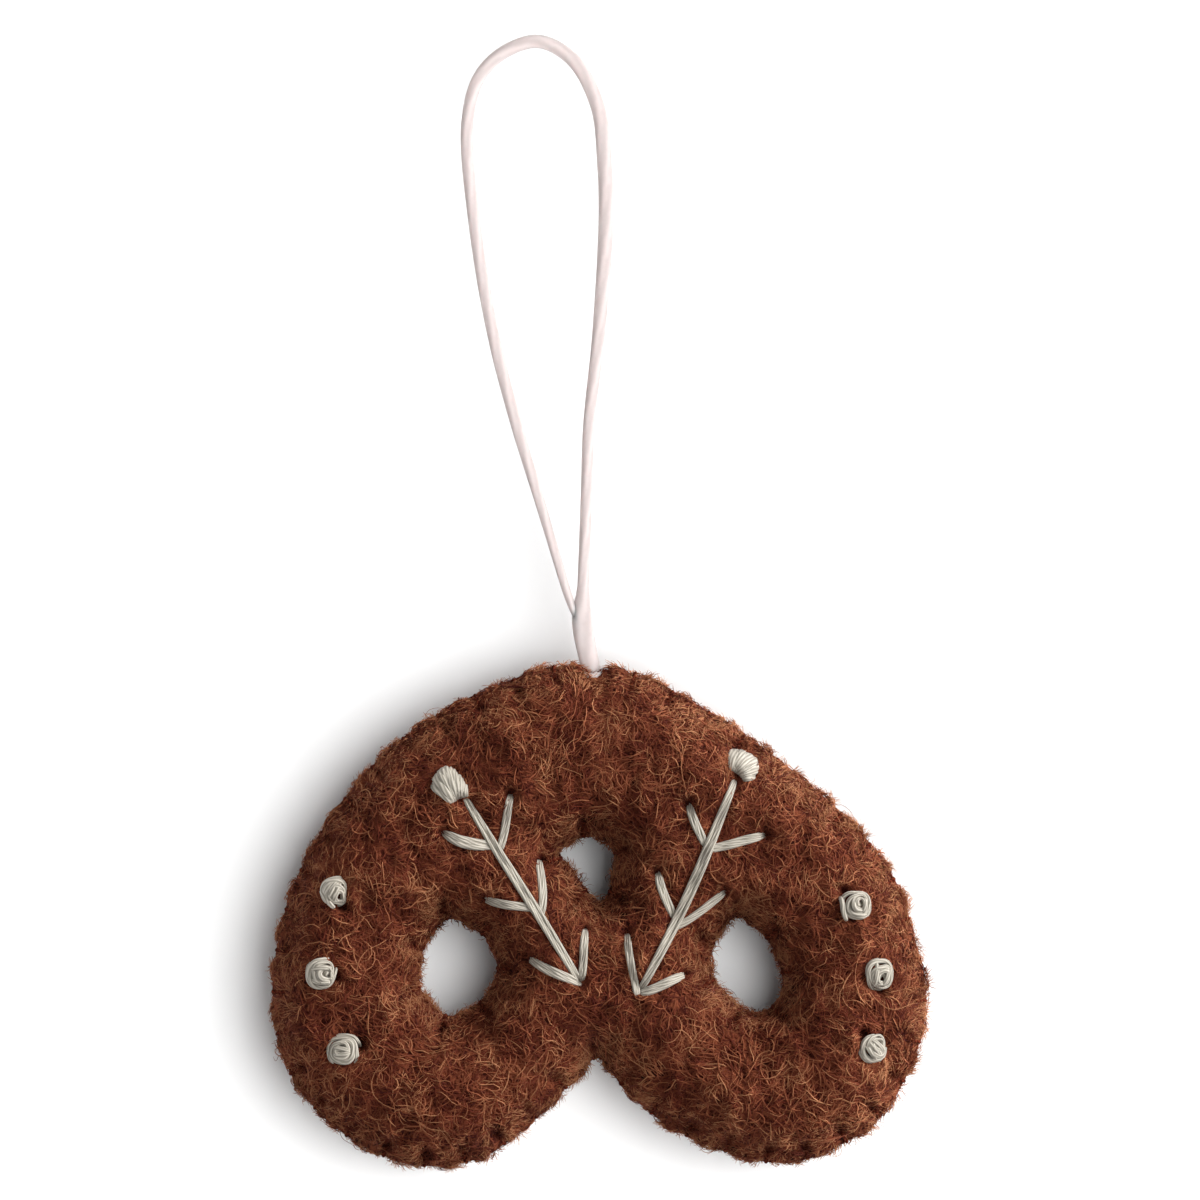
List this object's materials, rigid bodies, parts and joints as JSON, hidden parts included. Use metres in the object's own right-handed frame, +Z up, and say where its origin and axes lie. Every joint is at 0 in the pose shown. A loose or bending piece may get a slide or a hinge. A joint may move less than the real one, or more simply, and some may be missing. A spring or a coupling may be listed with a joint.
{
  "type": "felt christmas ornament",
  "caption": "Stuffed felt pretzel ornament with embroidered twigs and French knots, sewn round its edges and hung on a loop of cord.",
  "frame": {"origin": "the hanging point: inside the top of the cord's loop", "axes": "+Z up, +X to the right seen from the front; the embroidered front faces -Y"},
  "size_m": [0.0766, 0.015, 0.1313],
  "materials": {
    "felt": "matted wool",
    "stuffing": "loose fibre",
    "sewing_thread": "matt",
    "embroidery_thread": "slight sheen",
    "cord": "waxed"
  },
  "bodies": {
    "hanging_loop": {"hanging_cord": "cord"},
    "felt_ornament": {"front_felt": "felt", "back_felt": "felt", "stuffing": "stuffing", "outer_seam_thread": "sewing_thread", "left_hole_thread": "sewing_thread", "right_hole_thread": "sewing_thread", "top_hole_thread": "sewing_thread", "left_stem": "embroidery_thread", "left_leaf_1": "embroidery_thread", "left_leaf_2": "embroidery_thread", "left_leaf_3": "embroidery_thread", "left_leaf_4": "embroidery_thread", "left_leaf_5": "embroidery_thread", "left_leaf_6": "embroidery_thread", "left_bud": "embroidery_thread", "right_stem": "embroidery_thread", "right_leaf_1": "embroidery_thread", "right_leaf_2": "embroidery_thread", "right_leaf_3": "embroidery_thread", "right_leaf_4": "embroidery_thread", "right_leaf_5": "embroidery_thread", "right_leaf_6": "embroidery_thread", "right_bud": "embroidery_thread", "left_knot_1": "embroidery_thread", "left_knot_2": "embroidery_thread", "left_knot_3": "embroidery_thread", "right_knot_1": "embroidery_thread", "right_knot_2": "embroidery_thread", "right_knot_3": "embroidery_thread", "cord_knot": "cord"}
  },
  "joints": [
    {"name": "ornament_sway", "type": "hinge", "parent": "hanging_loop", "child": "felt_ornament", "pos_m": [0.0064, 0, -0.0719], "axis": [0, 1, 0], "range_deg": [-40, 40]}
  ]
}
